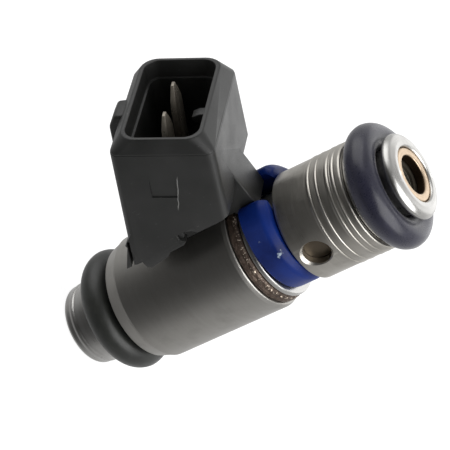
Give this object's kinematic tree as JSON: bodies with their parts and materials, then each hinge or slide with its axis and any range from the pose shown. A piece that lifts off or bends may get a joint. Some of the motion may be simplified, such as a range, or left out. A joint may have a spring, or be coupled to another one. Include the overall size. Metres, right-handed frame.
{
  "type": "fuel injector",
  "caption": "Top-feed solenoid fuel injector: round steel body between rubber rings, leaning rectangular plug socket with blade terminals, filtered inlet and a sprung ball valve.",
  "frame": {"origin": "on the injector's axis in the plane of the nozzle end face", "axes": "+Z along the axis from the nozzle to the fuel inlet; the plug socket leaves on the -Y side and leans towards +Z; X runs along the row of terminals"},
  "size_m": [0.0156, 0.0316, 0.0466],
  "materials": {
    "body_steel": "drawn and ground stainless can, satin, fine lines round the axis",
    "collar_steel": "turned stainless, satin, fine tool marks round the axis",
    "turned_steel": "bright turned stainless",
    "soft_iron": "plain soft magnetic iron",
    "spring_steel": "polished spring steel",
    "bronze_bead": "rough brown brazed bead with bright grains",
    "brass": "bright rolled brass",
    "copper": "enamelled copper wire",
    "terminal_tin": "tinned terminal, slightly tarnished",
    "housing_plastic": "dark grey glass-filled nylon, fine moulded grain",
    "bobbin_plastic": "natural nylon",
    "clip_plastic": "blue moulded plastic, satin",
    "black_rubber": "matt grey-black rubber",
    "navy_rubber": "dark navy rubber with a soft sheen",
    "filter_plastic": "natural nylon frame",
    "filter_cloth": "fine woven screen"
  },
  "bodies": {
    "injector_body": {"nozzle_cap": "turned_steel", "valve_body": "turned_steel", "orifice_plate": "turned_steel", "valve_seat": "turned_steel", "ball_guide": "turned_steel", "return_spring": "spring_steel", "adjusting_tube": "spring_steel", "housing_can": "body_steel", "lower_flux_washer": "soft_iron", "coil_bobbin": "bobbin_plastic", "coil_winding": "copper", "coil_lead_left": "copper", "coil_lead_right": "copper", "bobbin_seal_lower": "black_rubber", "bobbin_seal_upper": "black_rubber", "cover_plate": "turned_steel", "weld_bead": "bronze_bead", "non_magnetic_sleeve": "brass", "inlet_tube": "turned_steel", "inlet_collar": "collar_steel", "back_up_ring": "turned_steel", "lower_o_ring": "black_rubber", "upper_o_ring": "navy_rubber", "filter_sleeve": "brass", "filter_frame": "filter_plastic", "filter_mesh": "filter_cloth", "retaining_clip": "clip_plastic", "terminal_pin_left": "terminal_tin", "terminal_pin_right": "terminal_tin", "connector_housing": "housing_plastic"},
    "valve_group": {"armature": "soft_iron", "needle": "turned_steel", "valve_ball": "spring_steel"}
  },
  "joints": [
    {"name": "needle_lift", "type": "slide", "parent": "injector_body", "child": "valve_group", "axis": [0, 0, 1], "range_m": [0, 0.00008], "stiffness_N_per_m": 3600, "springref_m": -0.00001, "deforming": ["return_spring"]}
  ]
}
